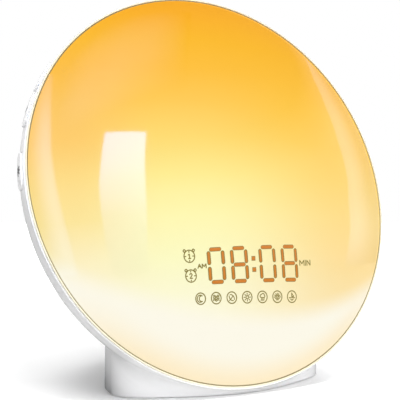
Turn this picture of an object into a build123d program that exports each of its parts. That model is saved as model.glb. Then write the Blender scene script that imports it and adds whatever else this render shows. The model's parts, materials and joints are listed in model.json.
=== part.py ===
from build123d import *
import os
from math import asin, atan2, cos, degrees, radians, sin, sqrt

# Sunrise alarm clock: a domed lamp face that leans back on an oval foot.
# +X is the clock's right as it is faced, +Y its back, +Z up; the table is at z = 0.
# Millimetres and degrees throughout.

os.makedirs("parts", exist_ok=True)

# ---- Driving dimensions ------------------------------------------------------------

lean = 15.4  # the lamp face leans back by this angle
face_height = 87.1  # middle of the dome's edge above the table
face_back = -12.45  # the same point front to back, which centres the whole clock

dome_radius = 85.7
dome_rise = 22.0  # the dome's middle stands this far in front of its edge
dome_wall = 2.2
gasket_radius = 86.2
ring_radius = 86.8
ring_proud = 0.35

bowl_radius = 87.3  # side wall of the housing
bowl_straight = 4.4  # depth at which the side wall starts to curve in
bowl_corner = 19.0  # radius of that curve
bowl_depth = 50.0  # from the dome's edge to the middle of the back
shell_wall = 2.0
rim_step = 0.2  # depth of the housing's front edge behind the dome's edge
gasket_depth = 1.0  # depth of the rebate inside it, where the gasket sits
rim_draft = 4.0  # the side wall narrows to the ring over this depth

foot_half_width = 50.2
foot_front = 19.5  # half-depth of the oval foot in front of its widest line
foot_rear = 42.75  # and behind it
foot_back = -9.2  # the widest line, front to back
foot_gap = 0.5  # the housing stands off the table by this
foot_rise = 80.0  # the foot's walls run up inside the bowl to this height
neck_radius = 10.0  # cove between foot and bowl

key_length = 15.0
key_width = 6.0
key_proud = 0.8
key_depth = 5.2  # middle of the keys behind the dome's edge
key_travel = 0.8
key_gap = 0.2  # round each key in its slot
key_angles = {"low": 178.0, "middle": 161.0, "top": 150.1}  # on the left, from +X

plate_thickness = 2.0
plate_gap = 0.15
board_thickness = 1.6
main_board_height = 9.5

display_across = -3.5  # middle of the display on the face, across and up
display_up = -42.5
display_width = 70.0
display_height = 34.0
display_depth = 7.0
digit_columns = (-15.7, -5.5, 7.7, 18.8)  # from the middle of the display
digit_rise = 2.6  # middle of the digits above the middle of the display
digit_height = 12.8  # between the middles of a digit's top and bottom bars
digit_width = 6.3
bar_thickness = 1.5

speaker_up = 6.0  # middle of the speaker on the face plane
speaker_seat = 38.0  # depth of the speaker's seat

# ---- Shapes that follow ------------------------------------------------------------

overrun = 25.0  # forms run past their cuts by this
cap_radius = (dome_radius**2 + dome_rise**2) / (2 * dome_rise)
cap_centre = dome_rise - cap_radius
cap_edge = degrees(asin(-cap_centre / cap_radius))

corner_centre = bowl_radius - bowl_corner
back_run = bowl_depth - bowl_straight
back_radius = (corner_centre**2 + back_run**2 - bowl_corner**2) / (2 * (back_run - bowl_corner))
back_centre = back_radius - bowl_depth
corner_turn = degrees(atan2(back_centre + bowl_straight, corner_centre))

forward = Vector(0, -cos(radians(lean)), sin(radians(lean)))
upward = Vector(0, sin(radians(lean)), cos(radians(lean)))
face_middle = Vector(0, face_back, face_height)
face = Plane(origin=face_middle, x_dir=(1, 0, 0), z_dir=forward)
section = Plane(origin=face_middle, x_dir=(1, 0, 0), z_dir=-upward)
bowl_axis = Axis(face_middle, forward)

plate_top = foot_gap + plate_thickness
main_board_top = main_board_height + board_thickness


def at(across, up, out):
    """Point given on the face plane: across, up along it, and out in front of it."""
    return face_middle + Vector(across, 0, 0) + upward * up + forward * out


def level(height):
    """Horizontal plane at a height above the table."""
    return Plane.XY.offset(height)


def keep(builder, label):
    """Label a finished piece and write it."""
    builder.part.label = label
    export_step(builder.part, f"parts/{label}.step")


def bowl_section(grow, front):
    """Half-section of the bowl's outside, grown by grow, and cut off square at its front."""
    with BuildSketch(section) as half:
        with BuildLine():
            side = Line((bowl_radius + grow, front), (bowl_radius + grow, -bowl_straight))
            CenterArc((corner_centre, -bowl_straight), bowl_corner + grow, 0, -corner_turn)
            back = CenterArc((0, back_centre), back_radius + grow, -corner_turn, corner_turn - 90)
            Polyline(back @ 1, (0, front), side @ 0)
        make_face()
    return half.sketch


def foot_outline(inset, height):
    """The foot's oval at a height: two half-ellipses, inset all round."""
    across = foot_half_width - inset
    with BuildSketch(level(height)) as oval:
        with BuildLine():
            EllipticalCenterArc((0, foot_back), across, foot_front - inset, start_angle=180, arc_size=180)
            EllipticalCenterArc((0, foot_back), across, foot_rear - inset, start_angle=0, arc_size=180)
        make_face()
    return oval.sketch


def key_sectors(start, end, sides=(1, -1)):
    """Flat wedges from the bowl's axis, from start to end degrees, on one or both sides."""
    reach = 2 * bowl_radius
    with BuildSketch() as wedges:
        for side in sides:
            first = (side * reach * cos(radians(start)), reach * sin(radians(start)))
            last = (side * reach * cos(radians(end)), reach * sin(radians(end)))
            with BuildLine():
                Polyline((0, 0), first, last, close=True)
            make_face()
    return wedges.sketch_local


def key_plane(angle):
    """Plane on the bowl's axis at the keys' depth: x along the rim, z out through a key."""
    out = face.x_dir * cos(radians(angle)) + face.y_dir * sin(radians(angle))
    return Plane(origin=at(0, 0, -key_depth), x_dir=forward.cross(out), z_dir=out)


def rear_plane(across, back, height):
    """Upright plane that faces the back."""
    return Plane(origin=(across, back, height), x_dir=(1, 0, 0), z_dir=(0, 1, 0))


keys = {f"left_key_{name}": key_plane(angle) for name, angle in key_angles.items()}
keys |= {f"right_key_{name}": key_plane(180 - angle) for name, angle in key_angles.items()}

# ---- Rear housing: bowl, neck and foot in one moulding ------------------------------

base_screws = [(-44.3, -6), (44.3, -6), (-23.5, 22), (23.5, 22)]
boss_radius = 4.0
boss_height = 18.0
pilot_radius = 1.25
tray_front = 10.0  # depth of the reflector tray's rim
tray_wall = 1.2
pillar_ring = 76.0
pillar_radius = 4.0
speaker_radius = 27.5
jack_height = main_board_top + 5.5
jack_nose = 4.3
reset_across = 14.0
reset_radius = 1.7
ledge_start = 142.5  # the dome's ledge stops for the keys between these angles
ledge_end = 184.5

with BuildPart() as outside:
    revolve(bowl_section(0, overrun), axis=bowl_axis)
    extrude(foot_outline(0, -overrun), amount=foot_rise + overrun)
    fillet(outside.edges(Select.NEW), radius=neck_radius)
    split(bisect_by=level(foot_gap), keep=Keep.TOP)
    split(bisect_by=face.offset(-rim_step), keep=Keep.BOTTOM)
    rim = outside.faces().sort_by(bowl_axis)[-1]
    chamfer(rim.edges(), length=rim_draft, length2=bowl_radius - ring_radius, reference=rim)
    with BuildSketch(face.offset(-gasket_depth)):
        Circle(gasket_radius)
    extrude(amount=gasket_depth, mode=Mode.SUBTRACT)

with BuildPart() as cavity:
    revolve(bowl_section(-shell_wall, overrun), axis=bowl_axis)
    extrude(foot_outline(shell_wall, 0), amount=foot_rise)
    with BuildSketch(level(plate_top)):
        with Locations(*base_screws):
            Circle(boss_radius)
    extrude(amount=boss_height, mode=Mode.SUBTRACT)
    with BuildSketch(face.offset(-tray_front - tray_wall)):
        with PolarLocations(pillar_ring, 4, 45):
            Circle(pillar_radius)
    extrude(amount=-bowl_depth, mode=Mode.SUBTRACT)
    with BuildSketch(face.offset(-speaker_seat)):
        with Locations((0, speaker_up)):
            Circle(speaker_radius + 1)
            Circle(speaker_radius - 3.5, mode=Mode.SUBTRACT)
    extrude(amount=-bowl_depth, mode=Mode.SUBTRACT)

with BuildPart() as rear_housing:
    add(outside.part)
    add(cavity.part, mode=Mode.SUBTRACT)
    # ledge that the dome's lugs hook behind
    with BuildSketch(face.offset(-3.1)):
        Circle(bowl_radius - shell_wall + 0.3)
        Circle(83.5, mode=Mode.SUBTRACT)
        add(key_sectors(ledge_start, ledge_end), mode=Mode.SUBTRACT)
    extrude(amount=1.2)
    for place in keys.values():
        with BuildSketch(place.offset(bowl_radius - 8)):
            SlotOverall(key_length + 2 * key_gap, key_width + 2 * key_gap)
        extrude(amount=overrun, mode=Mode.SUBTRACT)
    with BuildSketch(level(plate_top)):
        with Locations(*base_screws):
            Circle(pilot_radius)
    extrude(amount=14, mode=Mode.SUBTRACT)
    with BuildSketch(face.offset(-tray_front - tray_wall)):
        with PolarLocations(pillar_ring, 4, 45):
            Circle(pilot_radius)
    extrude(amount=-11, mode=Mode.SUBTRACT)
    # sound holes in rings, and pilot holes for the speaker's screws
    with BuildSketch(face.offset(-bowl_depth - 2)):
        with Locations((0, speaker_up)):
            Circle(0.9)
            for ring in range(1, 6):
                with PolarLocations(4.0 * ring, 6 * ring):
                    Circle(0.9)
    extrude(amount=8, mode=Mode.SUBTRACT)
    with BuildSketch(face.offset(-speaker_seat)):
        with Locations((0, speaker_up)):
            with PolarLocations(26, 4):
                Circle(0.85)
    extrude(amount=-4, mode=Mode.SUBTRACT)
    # supply jack: a hole in a shallow round recess
    with BuildSketch(rear_plane(0, foot_back + foot_rear - 1, jack_height)):
        Circle(6.5)
    extrude(amount=2, mode=Mode.SUBTRACT)
    with BuildSketch(rear_plane(0, foot_back + foot_rear - 6, jack_height)):
        Circle(jack_nose + 0.2)
    extrude(amount=8, mode=Mode.SUBTRACT)
    with BuildSketch(rear_plane(reset_across, foot_back + foot_rear - 12, jack_height)):
        Circle(reset_radius + 0.15)
    extrude(amount=14, mode=Mode.SUBTRACT)
keep(rear_housing, "rear_housing")

# ---- Front: dome, gasket and ring ---------------------------------------------------

skirt_depth = 1.8
skirt_outer = bowl_radius - shell_wall - 0.3
skirt_inner = 82.0
lug_angles = (60, 90, 120, 225, 270, 315)

with BuildPart() as front_dome:
    inner_radius = cap_radius - dome_wall
    inner_edge = degrees(asin(sqrt(inner_radius**2 - skirt_inner**2) / inner_radius))
    with BuildSketch(section):
        with BuildLine():
            outer = CenterArc((0, cap_centre), cap_radius, cap_edge, 90 - cap_edge)
            inner = CenterArc((0, cap_centre), inner_radius, inner_edge, 90 - inner_edge)
            Line(outer @ 1, inner @ 1)
            Polyline(
                outer @ 0,
                (dome_radius, -gasket_depth),
                (skirt_outer, -gasket_depth),
                (skirt_outer, -skirt_depth),
                (skirt_inner, -skirt_depth),
                inner @ 0,
            )
        make_face()
    revolve(axis=bowl_axis)
    with BuildSketch(face.offset(-4.9)):
        with Locations(*[Location((0, 0), angle) for angle in lug_angles]):
            with Locations((82.75, 0)):
                Rectangle(1.1, 7)
    extrude(amount=3.6)
    with BuildSketch(face.offset(-4.5)):
        with Locations(*[Location((0, 0), angle) for angle in lug_angles]):
            with Locations((83.75, 0)):
                Rectangle(1.0, 7)
    extrude(amount=1.2)
keep(front_dome, "front_dome")

with BuildPart() as dome_gasket:
    with BuildSketch(face.offset(-gasket_depth)):
        Circle(gasket_radius)
        Circle(dome_radius, mode=Mode.SUBTRACT)
    extrude(amount=gasket_depth - 0.15)
keep(dome_gasket, "dome_gasket")

with BuildPart() as dome_ring:
    with BuildSketch(face.offset(-rim_step)):
        Circle(ring_radius)
        Circle(gasket_radius, mode=Mode.SUBTRACT)
    extrude(amount=rim_step + ring_proud)
    fillet(dome_ring.faces().sort_by(bowl_axis)[-1].edges(), radius=0.2)
keep(dome_ring, "dome_ring")

# ---- Side keys, their flexible boards and switches ----------------------------------

flange_length = 15.6
flange_width = 7.4
flange_drop = 0.6  # the flange's middle stands this far behind the key's
flange_gap = 0.25
flange_in = 83.2  # distances from the bowl's axis
flex_radius = 80.0
flex_thickness = 0.4
switch_top = 81.6
nub_top = 81.95
stem_end = nub_top + key_travel + 0.1
flex_start = 141.0
flex_end = 187.0

for label, place in keys.items():
    with BuildPart() as flange:
        with BuildSketch(place.offset(flange_in)):
            with Locations((0, -flange_drop)):
                RectangleRounded(flange_length, flange_width, 1)
        extrude(amount=overrun)
        revolve(bowl_section(-shell_wall - flange_gap, overrun), axis=bowl_axis, mode=Mode.INTERSECT)
    with BuildPart() as key:
        with BuildSketch(place.offset(flange_in + 0.5)):
            SlotOverall(key_length, key_width)
        extrude(amount=overrun)
        revolve(bowl_section(key_proud, overrun), axis=bowl_axis, mode=Mode.INTERSECT)
        crown = key.faces().sort_by(Axis(place.origin, place.z_dir))[-1]
        fillet(crown.edges(), radius=0.4)
        add(flange.part)
        with BuildSketch(place.offset(stem_end)):
            Circle(1.6)
        extrude(amount=0.8)
    keep(key, label)

for side, mirrored in (("left", 1), ("right", -1)):
    with BuildPart() as flex:
        with BuildSketch(face.offset(-8.4)):
            add(key_sectors(flex_start, flex_end, (mirrored,)))
            Circle(flex_radius, mode=Mode.INTERSECT)
            Circle(flex_radius - flex_thickness, mode=Mode.SUBTRACT)
        extrude(amount=5.8)
    keep(flex, f"{side}_key_flex")

    with BuildPart() as switches:
        for label, place in keys.items():
            if label.startswith(side):
                with BuildSketch(place.offset(flex_radius)):
                    Rectangle(4.5, 4.5)
                extrude(amount=switch_top - flex_radius)
                with BuildSketch(place.offset(switch_top)):
                    Circle(1.1)
                extrude(amount=nub_top - switch_top)
    keep(switches, f"{side}_key_switches")

# ---- Reflector tray, light board and its chips --------------------------------------

tray_floor = 17.0  # depth of the tray floor's front
tray_floor_radius = 65.0
tray_mouth_radius = 71.0
tray_radius = 82.0
light_board_radius = 54.0
light_rings = ((18.0, 6), (33.0, 12), (48.0, 18))
light_chip = (3.5, 2.8, 0.8)
post_radius = 2.0
posts = [(-32, -31), (24, -31), (-32, -52), (24, -52)]
ribbon_width = 12.0
ribbon_up = -61.0
lead_across = 14.0
key_lead_across = 77.5
key_lead_up = -11.0

with BuildPart() as reflector_tray:
    with BuildSketch(section):
        with BuildLine():
            Polyline(
                (0, -tray_floor),
                (tray_floor_radius, -tray_floor),
                (tray_mouth_radius, -tray_front),
                (tray_radius, -tray_front),
                (tray_radius, -tray_front - tray_wall),
                (tray_mouth_radius + 0.55, -tray_front - tray_wall),
                (tray_floor_radius + 0.55, -tray_floor - tray_wall),
                (0, -tray_floor - tray_wall),
                close=True,
            )
        make_face()
    revolve(axis=bowl_axis)
    # curved ribs that back the key switches
    with BuildSketch(face.offset(-tray_front)):
        add(key_sectors(flex_start, flex_end))
        Circle(flex_radius - flex_thickness, mode=Mode.INTERSECT)
        Circle(flex_radius - flex_thickness - 1.6, mode=Mode.SUBTRACT)
    extrude(amount=tray_front - 2.6)
    with BuildSketch(face.offset(-tray_floor - 2)):
        with PolarLocations(pillar_ring, 4, 45):
            Circle(1.6)
        with Locations((display_across, ribbon_up)):
            SlotOverall(ribbon_width + 4, 3)
        with Locations((lead_across, ribbon_up)):
            SlotOverall(7, 3)
        with Locations((-key_lead_across, key_lead_up), (key_lead_across, key_lead_up)):
            Circle(2)
    extrude(amount=tray_floor, mode=Mode.SUBTRACT)
keep(reflector_tray, "reflector_tray")

with BuildPart() as light_board:
    with BuildSketch(face.offset(-tray_floor)):
        Circle(light_board_radius)
        with Locations(*posts):
            Circle(post_radius + 0.4, mode=Mode.SUBTRACT)
    extrude(amount=board_thickness)
keep(light_board, "light_board")

with BuildPart() as light_chips:
    with BuildSketch(face.offset(-tray_floor + board_thickness)):
        for ring, count in light_rings:
            with PolarLocations(ring, count, 180 / count):
                Rectangle(light_chip[0], light_chip[1])
    extrude(amount=light_chip[2])
keep(light_chips, "light_chips")

with BuildPart() as tray_screws:
    with BuildSketch(face.offset(-tray_front)):
        with PolarLocations(pillar_ring, 4, 45):
            Circle(3)
    extrude(amount=1.8)
    fillet(tray_screws.faces().sort_by(bowl_axis)[-4:].edges(), radius=0.6)
    with BuildSketch(face.offset(-tray_front)):
        with PolarLocations(pillar_ring, 4, 45):
            Circle(pilot_radius - 0.1)
    extrude(amount=-10)
    with BuildSketch(face.offset(-tray_front + 1.8)):
        with PolarLocations(pillar_ring, 4, 45):
            Rectangle(3.4, 0.8)
            Rectangle(0.8, 3.4)
    extrude(amount=-1, mode=Mode.SUBTRACT)
keep(tray_screws, "tray_screws")

# ---- Display: film, light box, light guides, board and chips ------------------------

film_thickness = 0.4
film_gap = 4.6  # the flat film stands this far inside the dome, so its corners clear it
display_out = sqrt(cap_radius**2 - display_across**2 - display_up**2) + cap_centre
cap_point = at(0, 0, cap_centre)
display_normal = (at(display_across, display_up, display_out) - cap_point).normalized()
film_front = cap_radius - dome_wall - film_gap
display = Plane(
    origin=cap_point + display_normal * film_front,
    x_dir=upward.cross(display_normal),
    z_dir=display_normal,
)
box_back = film_thickness + display_depth
board_back = box_back + board_thickness
mark_columns = [-22.3 + 7.1 * place for place in range(7)]


def display_windows(grow):
    """Every lit window of the display, grown by grow: bars, colon, alarm and function marks."""
    with BuildSketch(display.offset(-box_back)) as windows:
        for column in digit_columns:
            for row in (-1, 0, 1):
                with Locations((column, digit_rise + row * digit_height / 2)):
                    SlotOverall(digit_width - 1.5 + 2 * grow, bar_thickness + 2 * grow)
            for across in (-0.5, 0.5):
                for up in (-0.25, 0.25):
                    middle = (column + across * digit_width, digit_rise + up * digit_height)
                    with Locations(Location(middle, 90)):
                        SlotOverall(digit_height / 2 - 1.5 + 2 * grow, bar_thickness - 0.3 + 2 * grow)
        colon = sum(digit_columns) / 4
        with Locations((colon, digit_rise - 2.2), (colon, digit_rise + 2.2)):
            Rectangle(1.4 + 2 * grow, 1.4 + 2 * grow)
        with Locations((-28.5, digit_rise + 4.4), (-28.5, digit_rise - 4.8)):
            Circle(2.7 + grow)
        with Locations((-21.8, digit_rise), (26.5, digit_rise)):
            Rectangle(4.4 + 2 * grow, 2.2 + 2 * grow)
        with Locations(*[(column, -10.6) for column in mark_columns]):
            Circle(2.5 + grow)
    return windows.sketch


with BuildPart() as display_film:
    with BuildSketch(display):
        RectangleRounded(display_width, display_height, 2)
    extrude(amount=-film_thickness)
keep(display_film, "display_film")

with BuildPart() as display_light_box:
    with BuildSketch(display.offset(-box_back)):
        RectangleRounded(display_width, display_height, 2)
    extrude(amount=display_depth)
    extrude(display_windows(0.1), amount=display_depth, mode=Mode.SUBTRACT)
keep(display_light_box, "display_light_box")

with BuildPart() as display_guides:
    extrude(display_windows(0), amount=display_depth)
keep(display_guides, "display_guides")

with BuildPart() as display_board:
    with BuildSketch(display.offset(-board_back)):
        RectangleRounded(display_width + 4, display_height + 2, 1)
    extrude(amount=board_thickness)
keep(display_board, "display_board")

with BuildPart() as display_chips:
    with BuildSketch(display.offset(-board_back)):
        with Locations((0, 2)):
            Rectangle(10, 10)
    extrude(amount=-1.6)
    with BuildSketch(display.offset(-board_back)):
        with GridLocations(4, 24, 6, 2):
            Rectangle(2, 1.2)
    extrude(amount=-0.6)
keep(display_chips, "display_chips")

with BuildPart() as display_posts:
    with BuildSketch(face.offset(-tray_floor)):
        with Locations(*posts):
            Circle(post_radius)
    extrude(amount=3 * tray_floor)
    split(bisect_by=display.offset(-board_back), keep=Keep.BOTTOM)
keep(display_posts, "display_posts")

# ---- Base plate, feet, battery cap and cell -----------------------------------------

feet = [(-33, -14.5), (33, -14.5), (-33, 13.5), (33, 13.5)]
pad_radius = 4.5
pad_inset = 0.4
standoffs = [(-32, -4.5), (32, -4.5), (-27, 12), (27, 12)]
cap_back = -1.0
cell_cap_radius = 12.0
cap_clearance = 0.15
tab_length = 8.0
cup_inner = 13.8
cup_outer = 15.2
cup_top = 8.0
cap_low = foot_gap + 0.15
cap_top = plate_top + 0.8
tab_low = plate_top + 0.1
notch_turn = -60.0

with BuildPart() as base_plate:
    extrude(foot_outline(shell_wall + plate_gap, foot_gap), amount=plate_thickness)
    with BuildSketch(level(plate_top)):
        with Locations((0, cap_back)):
            Circle(cup_outer)
            Circle(cup_inner, mode=Mode.SUBTRACT)
    extrude(amount=cup_top - plate_top)
    with BuildSketch(level(foot_gap)):
        with Locations((0, cap_back)):
            Circle(cell_cap_radius + cap_clearance)
            with PolarLocations(cell_cap_radius + 0.4, 2, notch_turn):
                Rectangle(1.8, tab_length + 0.8)
    extrude(amount=plate_thickness, mode=Mode.SUBTRACT)
    with BuildSketch(level(plate_top)):
        with Locations(*standoffs):
            Circle(3)
    extrude(amount=main_board_height - plate_top)
    with BuildSketch(level(main_board_height)):
        with Locations(*standoffs):
            Circle(1)
    extrude(amount=-5.5, mode=Mode.SUBTRACT)
    with BuildSketch(level(foot_gap)):
        with Locations(*base_screws):
            Circle(1.6)
    extrude(amount=plate_thickness, mode=Mode.SUBTRACT)
    with BuildSketch(level(foot_gap)):
        with Locations(*base_screws):
            Circle(2.9)
    extrude(amount=1.2, mode=Mode.SUBTRACT)
    with BuildSketch(level(foot_gap)):
        with Locations(*feet):
            Circle(pad_radius + 0.15)
    extrude(amount=pad_inset, mode=Mode.SUBTRACT)
keep(base_plate, "base_plate")

with BuildPart() as rubber_feet:
    with BuildSketch(level(0)):
        with Locations(*feet):
            Circle(pad_radius)
    extrude(amount=foot_gap + pad_inset)
    fillet(rubber_feet.faces().sort_by(Axis.Z)[:4].edges(), radius=0.3)
keep(rubber_feet, "rubber_feet")

with BuildPart() as base_screw_group:
    with BuildSketch(level(foot_gap + 0.1)):
        with Locations(*base_screws):
            Circle(2.6)
    extrude(amount=1.1)
    with BuildSketch(level(foot_gap + 1.2)):
        with Locations(*base_screws):
            Circle(pilot_radius - 0.1)
    extrude(amount=12)
    with BuildSketch(level(foot_gap + 0.1)):
        with Locations(*base_screws):
            Rectangle(3.2, 0.8)
            Rectangle(0.8, 3.2)
    extrude(amount=0.7, mode=Mode.SUBTRACT)
keep(base_screw_group, "base_screws")

with BuildPart() as battery_cap:
    with BuildSketch(level(cap_low)):
        with Locations((0, cap_back)):
            Circle(cell_cap_radius)
    extrude(amount=cap_top - cap_low)
    with BuildSketch(level(tab_low)):
        with Locations((0, cap_back)):
            with PolarLocations(cell_cap_radius + 0.2, 2):
                Rectangle(1.4, tab_length)
    extrude(amount=cap_top - tab_low)
    with BuildSketch(level(cap_low)):
        with Locations((0, cap_back)):
            SlotOverall(15, 2.2)
    extrude(amount=1.2, mode=Mode.SUBTRACT)
keep(battery_cap, "battery_cap")

with BuildPart() as coin_cell:
    with BuildSketch(level(cap_top + 0.3)):
        with Locations((0, cap_back)):
            Circle(10)
    extrude(amount=3.2)
    fillet(coin_cell.edges(), radius=0.3)
keep(coin_cell, "coin_cell")

cell_top = cap_top + 3.5
with BuildPart() as cell_contacts:
    with BuildSketch(level(cell_top)):
        with Locations((0, cap_back)):
            Rectangle(18, 4)
    extrude(amount=0.3)
    with BuildSketch(level(cell_top + 0.3)):
        with Locations((-8.8, cap_back), (8.8, cap_back)):
            Rectangle(0.4, 4)
    extrude(amount=main_board_height - cell_top - 0.3)
keep(cell_contacts, "cell_contacts")

# ---- Main board and what it carries -------------------------------------------------

board_half_width = 39.0
board_front = -11.0
board_rear = 28.0

with BuildPart() as main_board:
    with BuildSketch(level(main_board_height)):
        add(foot_outline(shell_wall + 2, 0))
        with Locations((0, (board_front + board_rear) / 2)):
            Rectangle(2 * board_half_width, board_rear - board_front, mode=Mode.INTERSECT)
        with Locations(*base_screws):
            Circle(boss_radius + 1, mode=Mode.SUBTRACT)
        with Locations(*standoffs):
            Circle(1.3, mode=Mode.SUBTRACT)
    extrude(amount=board_thickness)
keep(main_board, "main_board")

with BuildPart() as board_screws:
    with BuildSketch(level(main_board_top)):
        with Locations(*standoffs):
            Circle(2.4)
    extrude(amount=1.5)
    with BuildSketch(level(main_board_top)):
        with Locations(*standoffs):
            Circle(0.9)
    extrude(amount=-6.5)
keep(board_screws, "board_screws")

with BuildPart() as main_board_chips:
    for middle, size in (((-17, 2), (12, 12)), ((20, -3), (8, 5)), ((12, 5), (5, 4)), ((-20, 14), (7, 5))):
        with BuildSketch(level(main_board_top)):
            with Locations(middle):
                Rectangle(*size)
        extrude(amount=1.7)
keep(main_board_chips, "main_board_chips")

with BuildPart() as capacitors:
    for middle, radius, height in (((12, 14), 4.0, 11.0), ((-10, 16), 2.5, 7.0), ((-29, 3), 2.5, 7.0)):
        with BuildSketch(level(main_board_top)):
            with Locations(middle):
                Circle(radius)
        extrude(amount=height)
    fillet(capacitors.faces().sort_by(Axis.Z)[-3:].edges(), radius=0.5)
keep(capacitors, "capacitors")

with BuildPart() as radio_module:
    with BuildSketch(level(main_board_top)):
        with Locations((29.5, 4.6)):
            Rectangle(12, 8)
    extrude(amount=2.4)
    fillet(radio_module.faces().sort_by(Axis.Z)[-1].edges(), radius=0.4)
keep(radio_module, "radio_module")

jack_body = 13.5  # length of the jack behind its nose
jack_shoulder = foot_back + foot_rear - 2.7
with BuildPart() as supply_jack:
    with BuildSketch(rear_plane(0, jack_shoulder - jack_body, jack_height)):
        Rectangle(9.4, 11)
    extrude(amount=jack_body)
    with BuildSketch(rear_plane(0, jack_shoulder, jack_height)):
        Circle(jack_nose)
    extrude(amount=1.6)
    with BuildSketch(rear_plane(0, jack_shoulder + 1.6, jack_height)):
        Circle(2.8)
    extrude(amount=-10, mode=Mode.SUBTRACT)
keep(supply_jack, "supply_jack")

with BuildPart() as jack_pin:
    with BuildSketch(rear_plane(0, jack_shoulder - 8.4, jack_height)):
        Circle(1.0)
    extrude(amount=9.0)
    fillet(jack_pin.faces().sort_by(Axis.Y)[-1].edges(), radius=0.4)
keep(jack_pin, "supply_jack_pin")

reset_face = foot_back + foot_rear * sqrt(1 - (reset_across / foot_half_width) ** 2) - 0.5
with BuildPart() as reset_button:
    with BuildSketch(rear_plane(reset_across, reset_face, jack_height)):
        Circle(reset_radius)
    extrude(amount=-6)
    fillet(reset_button.faces().sort_by(Axis.Y)[-1].edges(), radius=0.3)
    with BuildSketch(rear_plane(reset_across, reset_face - 4.2, jack_height)):
        Circle(reset_radius + 0.9)
    extrude(amount=1)
keep(reset_button, "reset_button")

with BuildPart() as reset_switch:
    with BuildSketch(rear_plane(reset_across, reset_face - 6.9, jack_height - 1)):
        Rectangle(6, 9)
    extrude(amount=-3.5)
keep(reset_switch, "reset_switch")

# ---- Speaker ------------------------------------------------------------------------

speaker_middle = at(0, speaker_up, 0)
speaker_section = Plane(origin=speaker_middle, x_dir=(1, 0, 0), z_dir=-upward)
speaker_axis = Axis(speaker_middle, forward)
speaker_place = Plane(origin=speaker_middle, x_dir=(1, 0, 0), z_dir=forward)

with BuildPart() as speaker_frame:
    with BuildSketch(speaker_section):
        with BuildLine():
            Polyline(
                (22, -speaker_seat),
                (speaker_radius, -speaker_seat),
                (speaker_radius, -36.8),
                (24.4, -36.8),
                (14, -27.5),
                (7, -27.5),
                (7, -28.7),
                (13.4, -28.7),
                (22, -36.6),
                close=True,
            )
        make_face()
    revolve(axis=speaker_axis)
    with BuildSketch(speaker_place.offset(-36)):
        with PolarLocations(18.5, 4, 45):
            Rectangle(6, 11)
    extrude(amount=7, mode=Mode.SUBTRACT)
    with BuildSketch(speaker_place.offset(-speaker_seat)):
        with PolarLocations(26, 4):
            Circle(0.9)
    extrude(amount=1.2, mode=Mode.SUBTRACT)
keep(speaker_frame, "speaker_frame")

with BuildPart() as speaker_magnet:
    with BuildSketch(speaker_place.offset(-27.5)):
        Circle(14)
    extrude(amount=1.2)
    with BuildSketch(speaker_place.offset(-26.3)):
        Circle(15)
    extrude(amount=4)
    with BuildSketch(speaker_place.offset(-22.3)):
        Circle(13.5)
    extrude(amount=1.5)
keep(speaker_magnet, "speaker_magnet")

with BuildPart() as speaker_cone:
    with BuildSketch(speaker_section):
        with BuildLine():
            Polyline(
                (0, -35.2), (4.5, -34.5), (7.5, -31.3), (20.3, -37.6), (20.3, -38.1), (7.4, -31.9),
                (4.6, -35.0), (0, -35.7), close=True
            )
        make_face()
    revolve(axis=speaker_axis)
keep(speaker_cone, "speaker_cone")

with BuildPart() as speaker_surround:
    with BuildSketch(speaker_section):
        with Locations((21.7, -speaker_seat)):
            Circle(1.3)
            Circle(0.9, mode=Mode.SUBTRACT)
            with Locations((0, 1.3)):
                Rectangle(2.6, 2.6, mode=Mode.SUBTRACT)
    revolve(axis=speaker_axis)
keep(speaker_surround, "speaker_surround")

with BuildPart() as speaker_screws:
    with BuildSketch(speaker_place.offset(-36.8)):
        with PolarLocations(26, 4):
            Circle(1.4)
    extrude(amount=1.1)
    with BuildSketch(speaker_place.offset(-36.8)):
        with PolarLocations(26, 4):
            Circle(0.75)
    extrude(amount=-4.8)
keep(speaker_screws, "speaker_screws")

# ---- Ribbon and leads ---------------------------------------------------------------

lead_radius = 0.6
ribbon_thickness = 0.6
board_contact = main_board_top + 0.2


def flat_run(point):
    """A world point as (y, z), for sketches on the upright plane along Y."""
    return (point.Y, point.Z)


def lead(points, bend):
    """Add a round lead along straight runs joined by arcs."""
    with BuildLine() as route:
        FilletPolyline(*points, radius=bend)
    with BuildSketch(Plane(origin=route.line @ 0, z_dir=route.line % 0)) as disc:
        Circle(lead_radius)
    sweep(disc.sketch, path=route.line)


with BuildPart() as display_ribbon:
    board_exit = display.from_local_coords((0, -13, -board_back - 0.3))
    out_a = at(display_across, ribbon_up, -11)
    out_b = at(display_across, ribbon_up, -21)
    with BuildSketch(Plane.YZ.offset(display_across - ribbon_width / 2)):
        with BuildLine():
            FilletPolyline(
                flat_run(board_exit),
                flat_run(board_exit - display_normal * 4),
                flat_run(out_a),
                flat_run(out_b),
                (out_b.Y, board_contact),
                radius=2,
            )
        trace(line_width=ribbon_thickness)
    extrude(amount=ribbon_width)
keep(display_ribbon, "display_ribbon")

with BuildPart() as light_leads:
    for across in (lead_across - 1.5, lead_across + 1.5):
        end = at(across, ribbon_up, -22)
        points = [
            at(across, -50, -tray_floor + board_thickness + lead_radius),
            at(across, -58, -tray_floor + board_thickness + 2),
            at(across, ribbon_up, -tray_floor),
            end,
            (across, end.Y, board_contact),
        ]
        lead(points, 1.5)
keep(light_leads, "light_leads")

with BuildPart() as speaker_leads:
    for across in (-1.5, 1.5):
        points = [
            at(across, speaker_up - 24.2, -35.2),
            at(across, speaker_up - 26, -30),
            at(across, speaker_up - 44, -27),
            (across, 10, 24),
            (across, 8, board_contact),
        ]
        lead(points, 3)
keep(speaker_leads, "speaker_leads")

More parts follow.
